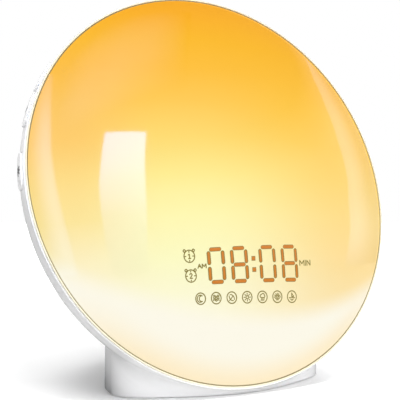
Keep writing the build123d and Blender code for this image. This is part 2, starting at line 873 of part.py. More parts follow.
with BuildPart() as key_leads:
    for side in (-1, 1):
        points = [
            at(side * key_lead_across, key_lead_up + 0.5, -6),
            at(side * key_lead_across, key_lead_up, -14),
            at(side * 56, -34, -21),
            at(side * 34, -56, -22),
            (side * 36.3, 0, board_contact),
        ]
        lead(points, 3)
keep(key_leads, "key_leads")
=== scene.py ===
"""Finishes for a sunrise alarm clock: a glowing dome with its display, a white housing and side keys."""

import json
from math import cos, pi, radians, sin

import bmesh
import bpy
import numpy as np
from bpy.props import FloatProperty, FloatVectorProperty, PointerProperty
from mathutils import Matrix, Vector

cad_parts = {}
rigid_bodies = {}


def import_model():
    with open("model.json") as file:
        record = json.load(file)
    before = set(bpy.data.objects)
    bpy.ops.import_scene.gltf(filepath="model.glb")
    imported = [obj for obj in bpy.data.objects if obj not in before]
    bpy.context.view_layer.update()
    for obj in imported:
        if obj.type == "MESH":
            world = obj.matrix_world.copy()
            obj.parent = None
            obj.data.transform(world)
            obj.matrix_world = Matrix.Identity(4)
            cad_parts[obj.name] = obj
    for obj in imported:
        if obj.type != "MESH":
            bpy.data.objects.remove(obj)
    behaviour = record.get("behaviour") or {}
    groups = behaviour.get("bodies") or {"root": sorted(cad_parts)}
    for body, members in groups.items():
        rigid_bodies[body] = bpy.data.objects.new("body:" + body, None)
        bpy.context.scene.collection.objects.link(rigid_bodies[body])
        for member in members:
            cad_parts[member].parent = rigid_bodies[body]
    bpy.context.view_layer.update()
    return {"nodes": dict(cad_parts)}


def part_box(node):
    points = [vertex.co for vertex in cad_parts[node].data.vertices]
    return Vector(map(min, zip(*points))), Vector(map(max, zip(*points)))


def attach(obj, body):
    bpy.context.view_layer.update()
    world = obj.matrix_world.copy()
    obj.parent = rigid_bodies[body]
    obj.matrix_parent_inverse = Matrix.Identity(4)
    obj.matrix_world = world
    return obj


bl_info = {
    "name": "Sunrise Alarm Clock",
    "version": (1, 0, 0),
    "blender": (4, 5, 0),
    "location": "3D View > Sidebar > Alarm Clock",
    "description": "Finishes, display marks and a studio for a sunrise alarm clock",
    "category": "Object",
}

for leftover in list(bpy.data.objects):
    bpy.data.objects.remove(leftover, do_unlink=True)

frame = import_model()

MM = 0.001
BODY = "clock"

# The lamp face is a plane through the dome's edge. It leans back from upright.
FACE_LEAN = radians(15.4)
FORWARD = Vector((0.0, -cos(FACE_LEAN), sin(FACE_LEAN)))
UPWARD = Vector((0.0, sin(FACE_LEAN), cos(FACE_LEAN)))

GASKET_LOW, GASKET_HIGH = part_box("dome_gasket")
GASKET_WIDTH = 0.5 * MM  # of its ring, as seen from the front
GASKET_MIDDLE = 0.575 * MM  # the gasket's middle stands this far behind the dome's edge
FACE_MIDDLE = (GASKET_LOW + GASKET_HIGH) / 2 + FORWARD * GASKET_MIDDLE

KEY_ANGLES = {"low": 178.0, "middle": 161.0, "top": 150.1}


def linear(code):
    """An sRGB hex colour as linear red, green, blue and alpha."""
    channels = [int(code[place:place + 2], 16) / 255 for place in (1, 3, 5)]
    return tuple(c / 12.92 if c <= 0.04045 else ((c + 0.055) / 1.055) ** 2.4 for c in channels) + (1.0,)


def grey(level):
    """A grey as linear red, green, blue and alpha."""
    return (level, level, level, 1.0)


def scaled(colour, factor):
    """A colour made darker or lighter by a factor, and no lighter than white."""
    return tuple(min(1.0, c * factor) for c in colour[:3]) + (1.0,)


def colour_setting(name, description, code):
    """A colour that a user can change, from its sRGB hex code."""
    return FloatVectorProperty(
        name=name, description=description, subtype="COLOR", size=4, min=0.0, max=1.0, default=linear(code)
    )


def length_setting(name, description, default):
    """A length that a user can change, in metres."""
    return FloatProperty(
        name=name, description=description, default=default, min=0.0, unit="LENGTH", precision=5
    )


def level_setting(name, description, default):
    """A light's level that a user can change: how bright it makes a white surface that faces it."""
    return FloatProperty(name=name, description=description, default=default, min=0.0)


# ---- Settings ----------------------------------------------------------------------


class DomeSettings(bpy.types.PropertyGroup):
    """The lit dome and its edge."""

    radius: length_setting(
        "Radius", "From the dome's axis to its edge", (GASKET_HIGH.x - GASKET_LOW.x) / 2 - GASKET_WIDTH
    )
    rise: length_setting("Rise", "From the plane of the edge to the dome's middle", 22 * MM)
    glow: FloatProperty(
        name="Glow", description="Share of the dome's colour that it gives off as light",
        default=0.7, min=0.0, max=1.0, subtype="FACTOR",
    )
    # painted reflection of the white floor, low on the dome, put into the dome's glow
    painted_floor_reflection: colour_setting("Painted floor reflection", "Low on the dome, where the light is whitest", "#FAF6E6")
    peach: colour_setting("Peach", "Round the lower edge", "#FBE9C2")
    # the gasket's dark colour is painted shade of the gap round the dome's edge
    gasket: colour_setting("Gasket", "Dark line round the dome", "#857B58")
    lip: colour_setting("Lip", "Ring outside the gasket", "#DCD5BF")


class DisplaySettings(bpy.types.PropertyGroup):
    """The clock display low on the dome."""

    across: length_setting("Across", "Middle of the display, left of the dome's middle", 2.42 * MM)
    down: length_setting("Down", "Middle of the digits below the dome's middle", 39.9 * MM)
    digit_width: length_setting("Digit width", "Between the middles of a digit's upright bars", 6.45 * MM)
    digit_height: length_setting(
        "Digit height", "Between the middles of a digit's top and bottom bars", 12.76 * MM
    )
    bar: length_setting("Bar", "Thickness of a digit's bars", 1.3 * MM)
    line: length_setting("Line", "Thickness of the marks' lines", 0.42 * MM)
    proud: length_setting("Proud", "How far the lit marks stand out of the dome", 0.03 * MM)
    digits: colour_setting("Digits", "Lit digits", "#C6741B")
    edges: colour_setting("Edges", "Where a lit bar fades into the dome", "#8B7327")
    marks: colour_setting("Marks", "Lines of the small marks", "#7D7026")


class HousingSettings(bpy.types.PropertyGroup):
    """The white housing, its underside and its keys."""

    shell: colour_setting("Shell", "Glossy white housing", "#EFEFF0")
    underside: colour_setting("Underside", "Satin white base plate and battery cap", "#E6E6E5")
    keys: colour_setting("Keys", "Side keys", "#F1F1F2")
    print: colour_setting("Key print", "Marks printed on the keys", "#232327")
    feet: colour_setting("Feet", "Rubber pads", "#5B5C5E")


class StageSettings(bpy.types.PropertyGroup):
    """Floor, lamps and camera."""

    ambient: level_setting("Ambient", "Light from all round", 0.03)
    overhead: level_setting("Overhead", "Light of the row of lamps above", 0.88)
    left: level_setting("Left", "Soft light from the front left", 0.63)
    right: level_setting("Right", "Soft light from the front right", 0.74)
    back: level_setting("Back", "Soft light from behind", 0.5)
    lens: FloatProperty(name="Lens", description="Focal length in millimetres", default=67.31, min=1.0)


# ---- Mesh helpers ------------------------------------------------------------------

MERGE_DISTANCE = 1e-7  # points nearer than this, in metres, become one
SHORT_EDGE = 1e-8  # edges shorter than this are dissolved
END_ROWS = 5  # rows of points in each round end of a stroke


def new_object(name, data):
    """An object in the scene that shows some data."""
    made = bpy.data.objects.new(name, data)
    bpy.context.scene.collection.objects.link(made)
    return made


def new_piece(name, points, faces, material, body=BODY):
    """A flat-shaded piece from points and faces, its doubled points merged, riding on a body."""
    mesh = bpy.data.meshes.new(name)
    mesh.from_pydata(points.tolist(), [], faces.tolist())
    work = bmesh.new()
    work.from_mesh(mesh)
    bmesh.ops.remove_doubles(work, verts=work.verts, dist=MERGE_DISTANCE)
    bmesh.ops.dissolve_degenerate(work, edges=work.edges, dist=SHORT_EDGE)
    bmesh.ops.recalc_face_normals(work, faces=work.faces)
    work.to_mesh(mesh)
    work.free()
    mesh.materials.append(material)
    piece = new_object(name, mesh)
    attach(piece, body)
    return piece


def stroke(path, width):
    """Outline of a flat stroke with round ends, as rows of a left, a middle and a right point.

    The path runs on for half the width at both ends. There each row stands at half-width times the
    sine of an angle past the end, and is half-width times that angle's cosine wide.
    """
    path = np.asarray(path, float)
    steps = np.gradient(path, axis=0)
    ahead = steps / np.linalg.norm(steps, axis=1, keepdims=True)
    half = width / 2
    turn = np.linspace(pi / 2, 0, END_ROWS + 1)[:-1]
    start = path[0] - ahead[0] * (half * np.sin(turn))[:, None]
    end = path[-1] + ahead[-1] * (half * np.sin(turn[::-1]))[:, None]
    middle = np.vstack([start, path, end])
    ahead = np.vstack([np.repeat(ahead[:1], len(turn), 0), ahead, np.repeat(ahead[-1:], len(turn), 0)])
    reach = np.concatenate([half * np.cos(turn), np.full(len(path), half), half * np.cos(turn[::-1])])
    side = np.stack([-ahead[:, 1], ahead[:, 0]], axis=1) * reach[:, None]
    return np.stack([middle + side, middle, middle - side], axis=1)


def plate_from_strokes(strokes, place, proud, sunk):
    """Points and faces of thin closed plates: each stroke's rows on top, and again underneath.

    place turns flat points and a height into points in space. The faces join each row to the next
    round the plate's section, which is left, middle, right on top and right, middle, left below.
    """
    all_points = []
    all_faces = []
    count = 0
    for rows in strokes:
        flat = np.concatenate([rows, rows[:, ::-1]], axis=1)
        heights = np.concatenate([np.full(rows.shape[:2], proud), np.full(rows.shape[:2], -sunk)], axis=1)
        ring = flat.shape[1]
        all_points.append(place(flat.reshape(-1, 2), heights.reshape(-1)))
        row = np.arange(len(rows) - 1)[:, None] * ring
        column = np.arange(ring)[None, :]
        beside = (column + 1) % ring
        quads = np.stack([row + column, row + beside, row + ring + beside, row + ring + column], axis=-1)
        all_faces.append(quads.reshape(-1, 4) + count)
        count += len(all_points[-1])
    return np.vstack(all_points), np.vstack(all_faces)


def line(start, end, count=7):
    """Points along a straight stroke."""
    return np.linspace(start, end, count)


def bend(points, count=8):
    """Points along straight runs between the given corners."""
    runs = [line(start, end, count) for start, end in zip(points[:-1], points[1:])]
    return np.vstack([runs[0]] + [run[1:] for run in runs[1:]])


def arc(middle, radius, start, end, count=24):
    """Points on a circular arc, its angles in degrees."""
    turn = np.radians(np.linspace(start, end, count))
    return np.stack([middle[0] + radius * np.cos(turn), middle[1] + radius * np.sin(turn)], axis=1)


def rays(turns, inner, outer):
    """Straight strokes away from the middle at some angles, from one radius to another."""
    return [np.outer((inner, outer), (cos(turn), sin(turn))) for turn in turns]


def wave(start, end, height, count=25):
    """Points on a sine wave of one and a half turns between two points on one level."""
    along = np.linspace(0, 1, count)
    across = start[0] + (end[0] - start[0]) * along
    return np.stack([across, start[1] + height * np.sin(along * 3 * pi)], axis=1)


# ---- Node helpers ------------------------------------------------------------------

# A Mix node has a set of sockets for each kind of value. These are the colours' places among them.
MIX_A, MIX_B, MIX_RESULT = 6, 7, 2
MOTTLE_RANGE = (0.35, 0.65)  # noise values at which a mottled colour is darkest and lightest


def add_node(tree, kind, inputs=None, **settings):
    """Add a node, set it up, and give each input a value, an output or another node's first output.

    kind is the name of the node's type after ShaderNode.
    """
    node = tree.nodes.new(f"ShaderNode{kind}")
    for name, value in settings.items():
        setattr(node, name, value)
    for socket, source in (inputs or {}).items():
        if isinstance(source, bpy.types.Node):
            source = source.outputs[0]
        if isinstance(source, bpy.types.NodeSocket):
            tree.links.new(source, node.inputs[socket])
        else:
            node.inputs[socket].default_value = source
    return node


def set_ramp(node, stops):
    """Give a Color Ramp its stops: pairs of a place from 0 to 1 and a colour."""
    elements = node.color_ramp.elements
    while len(elements) > 1:
        elements.remove(elements[-1])
    elements[0].position, elements[0].color = stops[0]
    for position, colour in stops[1:]:
        elements.new(position).color = colour


def new_finish(name, **sockets):
    """A material with one Principled shader, its sockets set by name, and its node tree."""
    material = bpy.data.materials.new(name)
    material.use_nodes = True
    tree = material.node_tree
    shader = tree.nodes["Principled BSDF"]
    for socket, value in sockets.items():
        shader.inputs[socket.replace("_", " ")].default_value = value
    return material, tree, shader


def noise_through(tree, size, detail):
    """Noise through a piece's own space, with lumps size across, in metres."""
    coords = add_node(tree, "TexCoord")
    return add_node(
        tree, "TexNoise", {"Vector": coords.outputs["Object"], "Scale": 1 / size, "Detail": detail}
    )


def add_grain(tree, shader, size, depth, detail=4.0):
    """Bump from fine noise whose lumps are size across and depth high, in metres."""
    noise = noise_through(tree, size, detail)
    bump = add_node(tree, "Bump", {"Height": noise, "Distance": depth, "Strength": 1.0})
    tree.links.new(bump.outputs["Normal"], shader.inputs["Normal"])


def add_mottle(tree, shader, colour, size, change):
    """Slow drift of the base colour: noise size across moves it by a small share each way."""
    ramp = add_node(tree, "ValToRGB", {"Fac": noise_through(tree, size, 2.0)})
    shades = (scaled(colour, 1 - change), scaled(colour, 1 + change))
    set_ramp(ramp, list(zip(MOTTLE_RANGE, shades)))
    tree.links.new(ramp.outputs["Color"], shader.inputs["Base Color"])


def finish_nodes(material, *names):
    """Put a finish on CAD nodes."""
    for name in names:
        for slot in frame["nodes"][name].material_slots:
            slot.material = material


# ---- Places on the clock -----------------------------------------------------------


def ball_radius(dome):
    """Radius of the ball that the dome is cut from."""
    return (dome.radius**2 + dome.rise**2) / (2 * dome.rise)


def on_dome(flat, height):
    """Flat points on the face plane, put on the dome's outside and raised along its radius."""
    dome = bpy.context.scene.alarm_clock_dome
    ball = ball_radius(dome)
    out = np.sqrt(ball**2 - np.sum(flat**2, axis=1)) + dome.rise - ball
    local = np.column_stack([flat, out])
    middle = np.array([0.0, 0.0, dome.rise - ball])
    away = (local - middle) / np.linalg.norm(local - middle, axis=1, keepdims=True)
    return from_face(local + away * height[:, None])


def from_face(local):
    """Points given across, up and out of the face plane, in the clock's own frame."""
    axes = np.array([(1.0, 0.0, 0.0), UPWARD, FORWARD])
    return np.array(FACE_MIDDLE) + local @ axes


def face_coordinates(tree):
    """Object coordinates turned to the face plane, in millimetres: across, up and out."""
    coords = add_node(tree, "TexCoord")
    mapping = add_node(
        tree, "Mapping",
        {
            "Vector": coords.outputs["Object"],
            "Location": FACE_MIDDLE,
            "Rotation": (pi / 2 - FACE_LEAN, 0.0, 0.0),
            "Scale": (MM, MM, MM),
        },
        vector_type="TEXTURE",
    )
    return add_node(tree, "SeparateXYZ", {"Vector": mapping})


# ---- Dome --------------------------------------------------------------------------

ACRYLIC = {"Roughness": 0.06, "IOR": 1.49}  # polished

# Heights on the face in millimetres, and the colour there, left and right of the middle.
SUNRISE_LEFT = (
    (-84, "#F9F6D4"), (-52, "#F9F6D4"), (-36, "#F7F5BE"), (-20, "#FAF2AB"), (-4, "#FAE88D"),
    (12, "#FCD971"), (28, "#FDC957"), (44, "#FBBE3E"), (60, "#F9B92E"), (76, "#F9AF26"), (84, "#F7AA20"),
)
SUNRISE_RIGHT = (
    (-84, "#F9E1A5"), (-52, "#F9DFA0"), (-36, "#FAD88B"), (-20, "#F9D67C"), (-4, "#F8D064"),
    (12, "#FAC94C"), (28, "#FCC642"), (44, "#FBBF38"), (60, "#FAB92A"), (84, "#F9B022"),
)
# The same close to the rim on the left
SUNRISE_RIM = (
    (-84, "#FAF4D7"), (-52, "#FAF4D7"), (-36, "#F8ECBE"), (-20, "#F7E094"), (-4, "#F9D881"),
    (12, "#FCCC6E"), (28, "#FAC662"), (44, "#FABE48"), (60, "#F9BA36"), (84, "#F7AD25"),
)
SUNRISE_REACH = 86.0  # the colour runs cover this much above and below the middle
# Where one run gives way to the next, in millimetres to the right of the middle
LEFT_TO_RIGHT = (-30.0, 56.0)
LEFT_TO_RIM = (-36.0, -72.0)
# The painted reflection of the white floor, low on the dome, has an upper edge that is a parabola, in
# millimetres: how far its lowest point lies below the middle and to the right of it, and how much it
# rises for each square millimetre away from there. The reflection sets in between two heights above
# that edge.
FLOOR_REFLECTION_DROP = 59.0
FLOOR_REFLECTION_ACROSS = 10.0
FLOOR_REFLECTION_BOW = 0.0031
FLOOR_REFLECTION_FADE = (5.0, -7.0)
# The peach sets in between these distances from the middle, and between these heights
PEACH_RIM = (73.0, 87.0)
PEACH_LOW = (-42.0, -76.0)
DOME_BODY = 0.22  # share of the colour that the acrylic itself scatters back
LIP_GLOW = 0.08  # share of its colour that the lip gives off as light


def sunrise_run(tree, height, stops):
    """Colour by height on the face, from stops in millimetres."""
    place = add_node(
        tree, "MapRange", {"Value": height, "From Min": -SUNRISE_REACH, "From Max": SUNRISE_REACH}
    )
    ramp = add_node(tree, "ValToRGB", {"Fac": place})
    span = 2 * SUNRISE_REACH
    set_ramp(ramp, [((stop + SUNRISE_REACH) / span, linear(code)) for stop, code in stops])
    return ramp


def smooth_step(tree, value, limits):
    """From 0 at the first limit to 1 at the second, eased at both ends."""
    return add_node(
        tree, "MapRange",
        {"Value": value, "From Min": limits[0], "From Max": limits[1]},
        interpolation_type="SMOOTHSTEP",
    )


def sunrise_colour(tree, settings):
    """Colour of the light through the dome, as layers over its left run.

    The other two runs come in from the sides, then a painted reflection of the white floor below its
    parabola, then the peach where a place is both near the rim and low down.
    """
    place = face_coordinates(tree)
    across, up = place.outputs["X"], place.outputs["Y"]
    from_lowest = add_node(tree, "Math", {0: across, 1: FLOOR_REFLECTION_ACROSS}, operation="SUBTRACT")
    square = add_node(tree, "Math", {0: from_lowest, 1: from_lowest}, operation="MULTIPLY")
    bowed = add_node(tree, "Math", {0: square, 1: -FLOOR_REFLECTION_BOW, 2: up}, operation="MULTIPLY_ADD")
    above_floor_reflection = add_node(tree, "Math", {0: bowed, 1: FLOOR_REFLECTION_DROP}, operation="ADD")
    flat = add_node(tree, "CombineXYZ", {"X": across, "Y": up})
    from_axis = add_node(tree, "VectorMath", {0: flat}, operation="LENGTH").outputs["Value"]
    near_rim = smooth_step(tree, from_axis, PEACH_RIM)
    low_down = smooth_step(tree, up, PEACH_LOW)
    lower_rim = add_node(tree, "Math", {0: near_rim, 1: low_down}, operation="MULTIPLY")
    layers = (
        (smooth_step(tree, across, LEFT_TO_RIGHT), sunrise_run(tree, up, SUNRISE_RIGHT)),
        (smooth_step(tree, across, LEFT_TO_RIM), sunrise_run(tree, up, SUNRISE_RIM)),
        # painted reflection of the white floor
        (smooth_step(tree, above_floor_reflection, FLOOR_REFLECTION_FADE), settings.painted_floor_reflection),
        (lower_rim, settings.peach),
    )
    colour = sunrise_run(tree, up, SUNRISE_LEFT)
    for share, over in layers:
        mix = add_node(tree, "Mix", {0: share, MIX_A: colour, MIX_B: over}, data_type="RGBA")
        colour = mix.outputs[MIX_RESULT]
    return colour


def acrylic_dome(settings):
    """Injection-moulded diffusing acrylic, polished outside and lit from behind by LEDs.

    The light inside gives it a sunrise: orange at the top, yellow lower on the left, and a trace of peach
    round the lower rim. The near white below a curved edge low down is a painted reflection of the white
    floor. The gloss is sharp. The normal at a point is its direction from the middle of the ball that the
    dome is cut from.
    """
    material, tree, shader = new_finish("acrylic_diffuser_lit", **ACRYLIC)
    colour = sunrise_colour(tree, settings)
    body = add_node(tree, "Mix", {0: DOME_BODY, MIX_A: grey(0.0), MIX_B: colour}, data_type="RGBA")
    tree.links.new(body.outputs[MIX_RESULT], shader.inputs["Base Color"])
    tree.links.new(colour, shader.inputs["Emission Color"])
    shader.inputs["Emission Strength"].default_value = settings.glow
    middle = FACE_MIDDLE + FORWARD * (settings.rise - ball_radius(settings))
    place = add_node(tree, "TexCoord").outputs["Object"]
    outward = add_node(tree, "VectorMath", {0: place, 1: middle}, operation="SUBTRACT")
    outward = add_node(tree, "VectorMath", {0: outward}, operation="NORMALIZE")
    tree.links.new(outward.outputs["Vector"], shader.inputs["Normal"])
    return material


def gasket_gap_shade(colour):
    """Moulded silicone, matt, its colour darkened by painted shade of the gap that it sits in."""
    material, tree, shader = new_finish("silicone_gasket_gap_shade", Roughness=0.6, IOR=1.41)
    add_mottle(tree, shader, colour, 6 * MM, 0.08)
    add_grain(tree, shader, 0.15 * MM, 0.003 * MM)
    return material


def polycarbonate_lip(colour):
    """Clear-cream polycarbonate ring that pipes a little of the lamp's light."""
    material, tree, shader = new_finish("polycarbonate_lip_lit", Roughness=0.25, IOR=1.58)
    add_mottle(tree, shader, colour, 20 * MM, 0.02)
    shader.inputs["Emission Color"].default_value = colour
    shader.inputs["Emission Strength"].default_value = LIP_GLOW
    return material


class ALARM_CLOCK_OT_dome(bpy.types.Operator):
    """Finish the dome, its gasket and its lip"""

    bl_idname = "alarm_clock.dome"
    bl_label = "Dome"

    def execute(self, context):
        settings = context.scene.alarm_clock_dome
        finish_nodes(acrylic_dome(settings), "front_dome")
        finish_nodes(gasket_gap_shade(settings.gasket), "dome_gasket")
        finish_nodes(polycarbonate_lip(settings.lip), "dome_ring")
        return {"FINISHED"}


# ---- Display -----------------------------------------------------------------------

DIGITS = ("0", "8", "0", "8")
# Bars of a lit digit: across and up from its middle in half-widths and half-heights, and upright or not
BARS = {
    "top": (0, 1, False), "middle": (0, 0, False), "bottom": (0, -1, False),
    "upper left": (-1, 0.482, True), "upper right": (1, 0.482, True),
    "lower left": (-1, -0.482, True), "lower right": (1, -0.482, True),
}
UNLIT = {"0": ("middle",), "8": ()}
DISPLAY_LEAN = 0.075  # the display leans left by this much across for each unit up
DISPLAY_SPREAD = 2.25  # it moves right by this many metres for each square metre from its middle
DISPLAY_FLARE = 1.9  # its heights grow by this share for each metre to the right
DIGIT_PITCH = 10.6 * MM
COLON_GAP = 13.14 * MM  # between the middles of the two digits beside the colon
COLON_RISE = 2.16 * MM  # from the middle of the digits to each dot
COLON_HALF = 0.75 * MM  # half a dot's side
BAR_LENGTH = 5.1 * MM
# A lit bar is a bright core on a wider soft edge. Upright cores are thinner than level ones.
EDGE_GROW = 0.16 * MM
CORE_GROW = -0.08 * MM
UPRIGHT_THINNER = 0.35 * MM
MARKS_GLOW = 0.7  # share of their colour that the lit marks give off as light
MARKS_SUNK = 0.02 * MM  # they reach this far into the dome


def leaning(path, middle):
    """A path as the curved dome shows it.

    It moves right by the spread times the square of its place across, and left as it rises above
    the middle of the digits. Heights grow to the right.
    """
    path = np.array(path, float)
    across = path[:, 0] - middle[0]
    path[:, 0] += DISPLAY_SPREAD * across**2 - DISPLAY_LEAN * (path[:, 1] - middle[1])
    path[:, 1] += DISPLAY_FLARE * across * (path[:, 1] - middle[1])
    return path


def digit_strokes(settings, middle, grow, thinner):
    """Strokes of the four digits and the colon round the display's middle.

    Each side of a bar or dot moves out by grow. Upright bars are thinner than that by thinner.
    """
    strokes = []
    inner = COLON_GAP / 2
    columns = (-inner - DIGIT_PITCH, -inner, inner, inner + DIGIT_PITCH)
    run = (BAR_LENGTH - settings.bar) / 2
    for digit, column in zip(DIGITS, columns):
        for bar, (across, up, upright) in BARS.items():
            if bar in UNLIT[digit]:
                continue
            x = middle[0] + column + across * settings.digit_width / 2
            y = middle[1] + up * settings.digit_height / 2
            reach = (0.0, run) if upright else (run, 0.0)
            path = line((x - reach[0], y - reach[1]), (x + reach[0], y + reach[1]))
            width = settings.bar + 2 * grow - (thinner if upright else 0.0)
            strokes.append(stroke(leaning(path, middle), width))
    dot = COLON_HALF + grow
    for up in (-COLON_RISE, COLON_RISE):
        y = middle[1] + up
        rows = leaning(line((middle[0] - dot, y), (middle[0] + dot, y)), middle)
        strokes.append(np.stack([rows + (0, dot), rows, rows - (0, dot)], axis=1))
    return strokes


# Letters as paths in a box one unit wide and high, and their widths as shares of their height
LETTERS = {
    "A": [bend([(0, 0), (0.5, 1), (1, 0)]), line((0.22, 0.36), (0.78, 0.36))],
    "M": [bend([(0, 0), (0, 1), (0.5, 0.3), (1, 1), (1, 0)])],
    "I": [line((0.5, 0), (0.5, 1))],
    "N": [bend([(0, 0), (0, 1), (1, 0), (1, 1)])],
}
LETTER_WIDTHS = {"A": 1.0, "M": 1.1, "I": 0.25, "N": 0.85}
# Numerals as paths round their middle
NUMERALS = {
    "1": [bend([(-0.35, 0.5), (0.05, 0.85), (0.05, -0.8)]), line((-0.35, -0.8), (0.45, -0.8))],
    "2": [
        np.vstack([arc((0, 0.4), 0.45, 170, -35), bend([(0.36, 0.14), (-0.45, -0.8), (0.5, -0.8)])[1:]]),
    ],
}


def word_paths(word, low_left, height, gap):
    """Stroke paths of a short word set from its lower left corner."""
    paths = []
    x = low_left[0]
    for letter in word:
        width = LETTER_WIDTHS[letter] * height
        for path in LETTERS[letter]:
            paths.append(np.array(low_left) * (0, 1) + (x, 0) + path * (width, height))
        x += width + gap
    return paths


def alarm_mark_paths(middle, radius, numeral):
    """Round alarm clock with two bells, ticks on its dial and a numeral, in shares of its radius."""
    dial = [arc((0, 0), 1.0, 0, 360, 49)]
    bells = [arc((side * 0.86, 0.93), 0.2, 0, 360, 17) for side in (-1, 1)]
    ticks = rays(np.arange(4) * pi / 2, 0.66, 0.8)
    figure = [path * 0.46 for path in NUMERALS[numeral]]
    return [np.array(middle) + path * radius for path in dial + bells + ticks + figure]


# Generic marks for the lamp's functions, in shares of the radius of the rings round them
FUNCTION_MARKS = {
    "moon": [
        arc((-0.08, 0), 0.62, 50, 310, 30),
        arc((0.22, 0), 0.5, 75, 285, 24),
    ],
    "breeze": [wave((-0.6, up), (0.6, up), 0.12) for up in (0.4, 0.14, -0.14, -0.4)],
    "leaf": [
        arc((-0.32, -0.32), 0.86, 0, 90),
        arc((0.32, 0.32), 0.86, 180, 270),
        line((-0.5, -0.5), (0.3, 0.3)),
    ],
    "sun": [arc((0, 0), 0.26, 0, 360, 25)] + rays(np.arange(8) * pi / 4, 0.46, 0.68),
    "rain": [
        np.vstack([arc((-0.25, 0.15), 0.25, 270, 90, 12), arc((0.12, 0.3), 0.3, 140, -20, 14),
                   arc((0.32, 0.1), 0.2, 60, -90, 10), line((0.3, -0.1), (-0.25, -0.1))]),
    ] + [line((across, -0.28), (across - 0.12, -0.6), 3) for across in (-0.2, 0.08, 0.36)],
    "sunrise": [
        line((-0.72, -0.05), (0.72, -0.05)), arc((0, -0.05), 0.3, 0, 180, 16),
        *[ray - (0, 0.05) for ray in rays(np.arange(1, 6) * pi / 6, 0.45, 0.68)],
        line((-0.45, -0.3), (0.45, -0.3)), line((-0.22, -0.52), (0.22, -0.52)),
    ],
    "sail": [
        bend([(-0.05, 0.62), (0.42, 0.02), (-0.05, 0.02), (-0.05, 0.62)]),
        line((-0.62, -0.18), (0.62, -0.18)),
        bend([(-0.3, -0.42), (0.0, -0.62), (0.3, -0.42)]),
    ],
}
FUNCTION_PITCH = 7.15 * MM
FUNCTION_RADIUS = 2.22 * MM
FUNCTION_MIDDLE = (-4.0 * MM, -12.68 * MM)  # of the row of function marks, from the middle of the digits
FUNCTION_SLOPE = -0.007  # the row's rise for each unit to the right
FUNCTION_LINE = 0.88  # share of the full line thickness inside the marks' rings
# Each word, its lower left corner from the middle of the digits, and its height
WORDS = (("AM", (-25.75 * MM, -0.6 * MM), 1.55 * MM), ("MIN", (22.2 * MM, -0.85 * MM), 1.95 * MM))
WORD_GAP = 0.5 * MM
# Each alarm mark's numeral, and its middle from the middle of the digits
ALARM_MARKS = (("1", (-29.2 * MM, 4.3 * MM)), ("2", (-29.2 * MM, -3.5 * MM)))
ALARM_RADIUS = 2.42 * MM


def small_mark_strokes(settings, middle):
    """Strokes of the words, the alarm marks and the row of function marks."""
    thick = settings.line
    groups = []
    for word, low_left, height in WORDS:
        corner = (middle[0] + low_left[0], middle[1] + low_left[1])
        groups.append((word_paths(word, corner, height, WORD_GAP), thick))
    for numeral, spot in ALARM_MARKS:
        centre = (middle[0] + spot[0], middle[1] + spot[1])
        groups.append((alarm_mark_paths(centre, ALARM_RADIUS, numeral), thick))
    for place, paths in enumerate(FUNCTION_MARKS.values()):
        along = (place - len(FUNCTION_MARKS) // 2) * FUNCTION_PITCH
        centre = np.array(middle) + FUNCTION_MIDDLE + (along, along * FUNCTION_SLOPE)
        groups.append(([centre + arc((0, 0), FUNCTION_RADIUS, 0, 360, 49)], thick))
        groups.append(([centre + path * FUNCTION_RADIUS for path in paths], thick * FUNCTION_LINE))
    return [stroke(leaning(path, middle), width) for paths, width in groups for path in paths]


def lit_print(name, colour):
    """Light that comes through clear windows of the dome's mask, under the dome's own gloss."""
    material, tree, shader = new_finish(name, **ACRYLIC)
    add_mottle(tree, shader, scaled(colour, 1 - MARKS_GLOW), 3 * MM, 0.05)
    shader.inputs["Emission Color"].default_value = colour
    shader.inputs["Emission Strength"].default_value = MARKS_GLOW
    return material


class ALARM_CLOCK_OT_display(bpy.types.Operator):
    """Make the lit digits and marks on the dome"""

    bl_idname = "alarm_clock.display"
    bl_label = "Display"

    def execute(self, context):
        settings = context.scene.alarm_clock_display
        middle = (-settings.across, -settings.down)
        edges = digit_strokes(settings, middle, EDGE_GROW, 0.0)
        cores = digit_strokes(settings, middle, CORE_GROW, UPRIGHT_THINNER)
        marks = small_mark_strokes(settings, middle)
        # The edges stand out half as far, so that the cores cover them
        layers = (
            ("display_digit_edges", edges, settings.edges, 0.5),
            ("display_digits", cores, settings.digits, 1.0),
            ("display_marks", marks, settings.marks, 1.0),
        )
        for name, strokes, colour, share in layers:
            points, faces = plate_from_strokes(strokes, on_dome, settings.proud * share, MARKS_SUNK)
            piece = new_piece(name, points, faces, lit_print(f"{name}_glow", colour))
        return {"FINISHED"}


# ---- Housing -----------------------------------------------------------------------


def abs_gloss(name, colour, roughness, ripple):
    """White ABS from a polished mould: an even gloss with a faint ripple from the tool."""
    material, tree, shader = new_finish(name, Roughness=roughness, IOR=1.53)
    add_mottle(tree, shader, colour, 30 * MM, 0.01)
    add_grain(tree, shader, ripple, 0.004 * MM, detail=1.0)
    return material


def abs_satin(name, colour):
    """White ABS from a spark-eroded mould: matt, with a grain of about a third of a millimetre."""
    material, tree, shader = new_finish(name, Roughness=0.5, IOR=1.53)
    add_mottle(tree, shader, colour, 20 * MM, 0.02)
    add_grain(tree, shader, 0.35 * MM, 0.02 * MM)
    return material


def rubber_pads(colour):
    """Die-cut silicone pads, matt and slightly dusty."""
    material, tree, shader = new_finish("silicone_pads_matt", Roughness=0.75, IOR=1.41)
    add_mottle(tree, shader, colour, 2 * MM, 0.1)
    add_grain(tree, shader, 0.2 * MM, 0.01 * MM)
    return material


